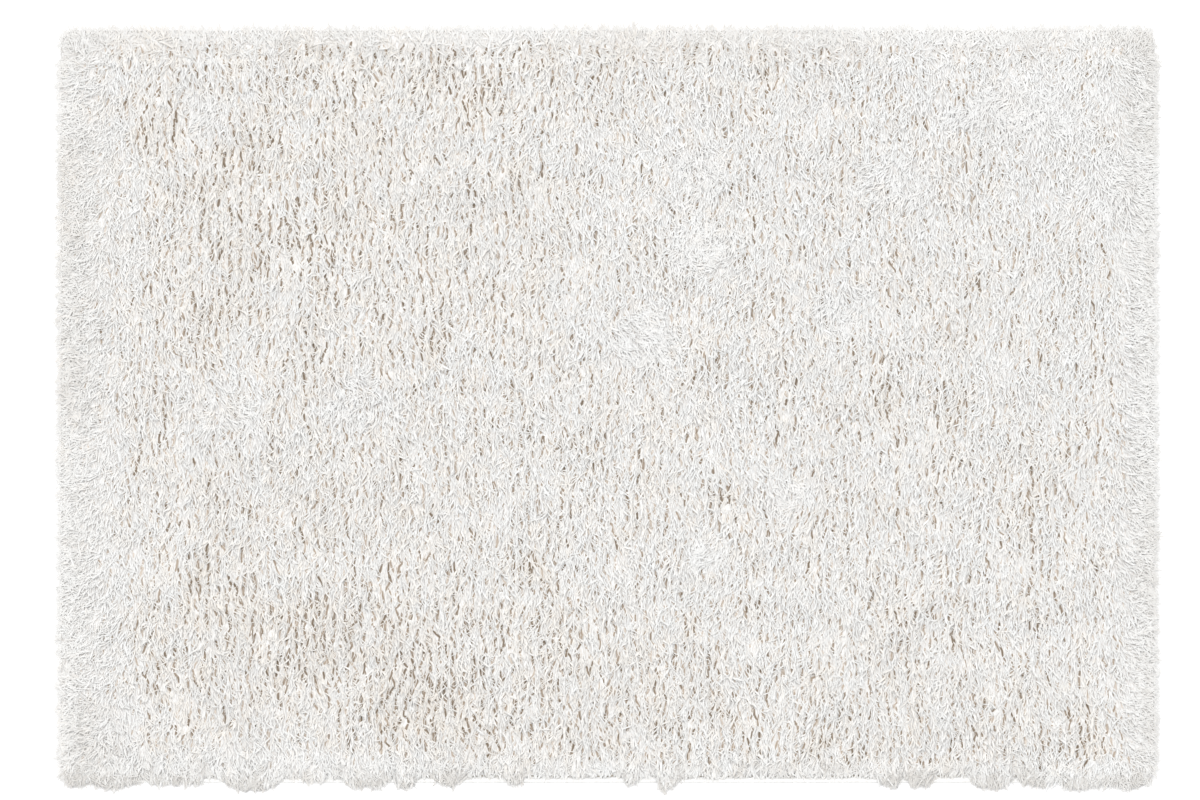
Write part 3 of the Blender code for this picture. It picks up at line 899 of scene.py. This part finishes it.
def tape_mesh():
    """The binding: a tape folded over the cloth's edge, puckered a little by its stitches."""
    points, ways = rounded_edge(inset=0.0, step=0.0075)
    n = len(points)
    high, width, t = BINDING_HEIGHT, BINDING_WIDTH, TAPE_THICK
    outer = [(width, 0.0), (0.0022, 0.0), (0.0006, 0.0007), (0.0, 0.0021), (0.0006, high - 0.0008),
             (0.0024, high), (0.0070, high - 0.0001), (STITCH_INSET, high - 0.0005),
             (width, high - 0.0002)]
    under = [(STITCH_INSET + 0.0012, 0.0001), (STITCH_INSET, 0.0008),
             (STITCH_INSET - 0.0012, 0.0001)]
    inner = [(width, high - 0.0002 - t), (0.0024, high - t), (t + 0.0006, 0.0021),
             (0.0024, t), (width, t)]
    profile = outer[:1] + under + outer[1:] + inner
    pucker = (0.00022 * np.sin(np.arange(n) * math.tau / 4)
              + 0.00018 * wander(points[:, 0], points[:, 1], 0.02, 41))
    sway = 0.0005 * wander(points[:, 0], points[:, 1], 0.045, 42)
    m = len(profile)
    verts = np.empty((n, m, 3))
    for k, (inset, z) in enumerate(profile):
        free = 1.0 if z > 0.0015 else 0.0
        lip = smooth(inset, 0.006, width)
        verts[:, k, :2] = points - ways * (inset + sway * lip)[:, None]
        verts[:, k, 2] = z + free * pucker * (0.3 + lip)
    i, k = np.meshgrid(np.arange(n), np.arange(m), indexing="ij")
    a, b = (i * m + k).ravel(), (i * m + (k + 1) % m).ravel()
    c, d = (((i + 1) % n) * m + (k + 1) % m).ravel(), (((i + 1) % n) * m + k).ravel()
    mesh = bpy.data.meshes.new("binding_tape")
    mesh.from_pydata(verts.reshape(-1, 3).tolist(), [], np.stack((d, c, b, a), 1).tolist())
    mesh.polygons.foreach_set("use_smooth", np.ones(n * m, bool))
    return mesh


def stitch_paths(z):
    """One lock stitch after another, along the binding at height z."""
    points, __ = rounded_edge(STITCH_INSET, STITCH_PITCH)
    along = np.roll(points, -1, 0) - points
    mid = points + along * 0.5
    rise = 0.0005 if z > 0.002 else -0.0003
    path = np.empty((len(points), 4, 3))
    for k, (share, lift) in enumerate(((-0.41, 0.0), (-0.22, 1.0), (0.22, 1.0), (0.41, 0.0))):
        path[:, k, :2] = mid + along * share
        path[:, k, 2] = z + rise * lift
    return path


def weave_material(name, light, dark, pitch, roughness, bump_height):
    """A plain weave: threads over and under each other, each a little different."""
    material, tree, shader = new_material(name, roughness, 0.2)
    place = node(tree, "ShaderNodeTexCoord").outputs["Object"]
    waves = []
    for scale, way in (((1 / pitch, 0.0, 0.0), "X"), ((0.0, 1 / pitch, 0.0), "Y")):
        mapping = node(tree, "ShaderNodeMapping")
        mapping.inputs["Scale"].default_value = scale
        tree.links.new(place, mapping.inputs[0])
        wave = node(tree, "ShaderNodeTexWave", wave_type="BANDS", bands_direction=way)
        wave.inputs["Scale"].default_value = math.pi / 10        # one band in each unit
        wave.inputs["Distortion"].default_value = 0.6
        wave.inputs["Detail"].default_value = 1.0
        tree.links.new(mapping.outputs[0], wave.inputs[0])
        waves.append(wave.outputs["Fac"])
    threads = math_node(tree, "MAXIMUM", *waves)
    grain = node(tree, "ShaderNodeTexNoise")
    grain.inputs["Scale"].default_value = 260.0
    grain.inputs["Detail"].default_value = 4.0
    tree.links.new(place, grain.inputs[0])
    colour = ramp(tree, ((0.25, dark), (0.85, light)), threads)
    speck = ramp(tree, ((0.3, (0.90, 0.89, 0.87)), (0.65, (1.0, 1.0, 1.0))), grain.outputs[0])
    tree.links.new(mix(tree, "MULTIPLY", 1.0, colour, speck), shader.inputs["Base Color"])
    add_bump(tree, shader, threads, 0.7, bump_height)
    return material


cloth = add("ground_cloth", cloth_mesh(),
            weave_material("ground_cloth", (0.80, 0.74, 0.65), (0.55, 0.48, 0.39), 0.0045, 0.9,
                           0.0008))
tape_finish = weave_material("binding_tape", (0.93, 0.93, 0.925), (0.84, 0.84, 0.83), 0.0016,
                             0.75, 0.0002)
tape = add("binding", tape_mesh(), tape_finish, ("edge_binding",))
for name, z in (("stitches_top", BINDING_HEIGHT - 0.0006), ("stitches_under", 0.0007)):
    paths = stitch_paths(z)
    count = len(paths)
    mesh = strand_mesh(name, paths, np.full((count, 2), STITCH_RADIUS), np.zeros(count),
                       np.arange(count) % COLUMNS)
    add(name, mesh, yarn)


# ---------------------------------------------------------------- studio

FLOOR = 20.0                 # from the middle to each side
FLOOR_GLOW, SKY, SUN = 0.10, 0.50, 2.62
SUN_SPREAD = math.radians(60)

floor_mesh = bpy.data.meshes.new("floor")
floor_mesh.from_pydata([(-FLOOR, -FLOOR, 0), (FLOOR, -FLOOR, 0), (FLOOR, FLOOR, 0),
                        (-FLOOR, FLOOR, 0)], [], [(0, 1, 2, 3)])
floor = bpy.data.objects.new("floor", floor_mesh)
paper, __, shader = new_material("floor", 0.9, 0.2)
shader.inputs["Base Color"].default_value = (0.95, 0.95, 0.95, 1)
shader.inputs["Emission Color"].default_value = (1, 1, 1, 1)
shader.inputs["Emission Strength"].default_value = FLOOR_GLOW
floor_mesh.materials.append(paper)
bpy.context.scene.collection.objects.link(floor)

world = bpy.data.worlds.new("studio")
world.use_nodes = True
world.node_tree.nodes["Background"].inputs[0].default_value = (1, 1, 1, 1)
world.node_tree.nodes["Background"].inputs[1].default_value = SKY
bpy.context.scene.world = world

sun = bpy.data.lights.new("key", "SUN")
sun.energy = SUN
sun.angle = SUN_SPREAD
key = bpy.data.objects.new("key", sun)
key.rotation_euler = (math.radians(-10), math.radians(-4), 0)
bpy.context.scene.collection.objects.link(key)

bpy.context.scene.view_settings.view_transform = "Standard"

TILT = math.radians(79)      # the camera looks down this steeply
PHOTO_WIDTH = 1200           # pixels
PIXEL = 0.0020814            # metres on the rug for each pixel of the photograph
CAMERA_AWAY = 4.0
camera = bpy.data.cameras.new("camera")
camera.type = "ORTHO"
camera.ortho_scale = PHOTO_WIDTH * PIXEL
eye = bpy.data.objects.new("camera", camera)
aim = Vector((-0.0156, 0.019, 0.0))
eye.location = aim + Vector((0, -math.cos(TILT), math.sin(TILT))) * CAMERA_AWAY
eye.rotation_euler = (math.pi / 2 - TILT, 0, 0)
bpy.context.scene.collection.objects.link(eye)
bpy.context.scene.camera = eye
